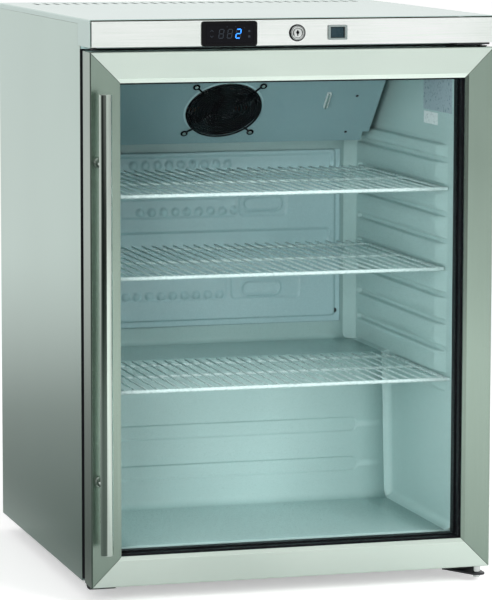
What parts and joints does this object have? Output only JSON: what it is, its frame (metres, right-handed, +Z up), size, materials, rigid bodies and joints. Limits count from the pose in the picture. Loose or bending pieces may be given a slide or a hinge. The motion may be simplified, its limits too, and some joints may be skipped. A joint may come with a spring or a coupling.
{
  "type": "glass door refrigerator",
  "caption": "Undercounter refrigerator with a framed glass door, bar handle, wire shelves, digital display, key lock and a fan cooler at the back",
  "frame": {"origin": "on the floor under the middle of the whole object, handle included", "axes": "+Z up, -Y towards the glass door, +X towards the hinge side"},
  "size_m": [0.598, 0.6486, 0.83],
  "materials": {
    "stainless": "brushed stainless sheet, cool green cast",
    "bright_steel": "polished or plated steel",
    "galvanised": "zinc coated sheet",
    "liner_plastic": "satin vacuum formed lining",
    "insulation": "rigid foam, hidden",
    "black_plastic": "black moulded plastic",
    "smoked_lens": "smoked glossy window",
    "glass": "clear toughened glass",
    "gasket_rubber": "soft black seal",
    "coated_wire": "white plastic coating",
    "painted_cover": "pale satin paint",
    "black_wire": "black coating",
    "compressor_paint": "black enamel",
    "copper": "bare copper pipe",
    "aluminium": "mill finish",
    "rocker_plastic": "dark teal grey plastic",
    "lamp_plastic": "milky plastic"
  },
  "bodies": {
    "cabinet": {"side_panel_left": "stainless", "side_panel_right": "stainless", "foam_body": "insulation", "inner_liner": "liner_plastic", "rear_panel": "galvanised", "base_pan": "galvanised", "top_cover": "stainless", "control_fascia": "stainless", "controller": "black_plastic", "display_lens": "smoked_lens", "lock_housing": "bright_steel", "switch_bezel": "black_plastic", "buffer_pad": "gasket_rubber", "upper_hinge_bracket": "black_wire", "lower_hinge_bracket": "black_wire", "upper_hinge_pin": "bright_steel", "lower_hinge_pin": "bright_steel", "evaporator_cover": "painted_cover", "fan_frame": "black_plastic", "fan_guard": "black_wire", "evaporator_coil": "aluminium", "drip_tray": "painted_cover", "probe_clip": "painted_cover", "lamp_housing": "lamp_plastic", "air_duct_panel": "painted_cover", "compressor": "compressor_paint", "relay_box": "black_plastic", "evaporation_pan": "black_plastic", "condenser": "black_wire", "discharge_pipe": "copper", "filter_drier": "copper", "cable_gland": "black_plastic"},
    "door": {"stile_left": "stainless", "stile_right": "stainless", "rail_top": "stainless", "rail_bottom": "stainless", "glass_outer": "glass", "glass_inner": "glass", "spacer_frame": "black_plastic", "glazing_frame": "black_plastic", "door_gasket": "gasket_rubber", "corner_bumper": "black_plastic", "handle_bar": "stainless", "handle_post_lower": "bright_steel", "handle_post_upper": "bright_steel", "upper_hinge_bush": "black_plastic", "lower_hinge_bush": "black_plastic"},
    "lock": {"lock_plug": "bright_steel", "lock_cam": "bright_steel"},
    "rocker": {"switch_rocker": "rocker_plastic"},
    "fan": {"fan_rotor": "black_plastic"},
    "shelf_top": {"shelf_top": "coated_wire"},
    "shelf_middle": {"shelf_middle": "coated_wire"},
    "shelf_bottom": {"shelf_bottom": "coated_wire"},
    "foot_front_left": {"foot_front_left": "black_plastic"},
    "foot_front_right": {"foot_front_right": "black_plastic"},
    "foot_rear_left": {"foot_rear_left": "black_plastic"},
    "foot_rear_right": {"foot_rear_right": "black_plastic"}
  },
  "joints": [
    {"name": "door_hinge", "type": "hinge", "parent": "cabinet", "child": "door", "pos_m": [0.287, -0.25535, 0.405], "axis": [0, 0, 1], "range_deg": [0, 110]},
    {"name": "lock_turn", "type": "hinge", "parent": "cabinet", "child": "lock", "pos_m": [0.0024, -0.27535, 0.8085], "axis": [0, -1, 0], "range_deg": [0, 90]},
    {"name": "switch_rock", "type": "hinge", "parent": "cabinet", "child": "rocker", "pos_m": [0.062, -0.27235, 0.8085], "axis": [0, 0, 1], "range_deg": [0, 20]},
    {"name": "fan_spin", "type": "hinge", "parent": "cabinet", "child": "fan", "pos_m": [0, 0.10008, 0.67424], "axis": [0, -0.7165, -0.6976], "continuous": true},
    {"name": "shelf_top_slide", "type": "slide", "parent": "cabinet", "child": "shelf_top", "axis": [0, -1, 0], "range_m": [0, 0.038]},
    {"name": "shelf_middle_slide", "type": "slide", "parent": "cabinet", "child": "shelf_middle", "axis": [0, -1, 0], "range_m": [0, 0.053]},
    {"name": "shelf_bottom_slide", "type": "slide", "parent": "cabinet", "child": "shelf_bottom", "axis": [0, -1, 0], "range_m": [0, 0.023]},
    {"name": "foot_front_left_turn", "type": "hinge", "parent": "cabinet", "child": "foot_front_left", "pos_m": [-0.254, -0.13565, 0], "axis": [0, 0, 1], "continuous": true},
    {"name": "foot_front_right_turn", "type": "hinge", "parent": "cabinet", "child": "foot_front_right", "pos_m": [0.254, -0.13565, 0], "axis": [0, 0, 1], "continuous": true},
    {"name": "foot_rear_left_turn", "type": "hinge", "parent": "cabinet", "child": "foot_rear_left", "pos_m": [-0.254, 0.28435, 0], "axis": [0, 0, 1], "continuous": true},
    {"name": "foot_rear_right_turn", "type": "hinge", "parent": "cabinet", "child": "foot_rear_right", "pos_m": [0.254, 0.28435, 0], "axis": [0, 0, 1], "continuous": true}
  ]
}
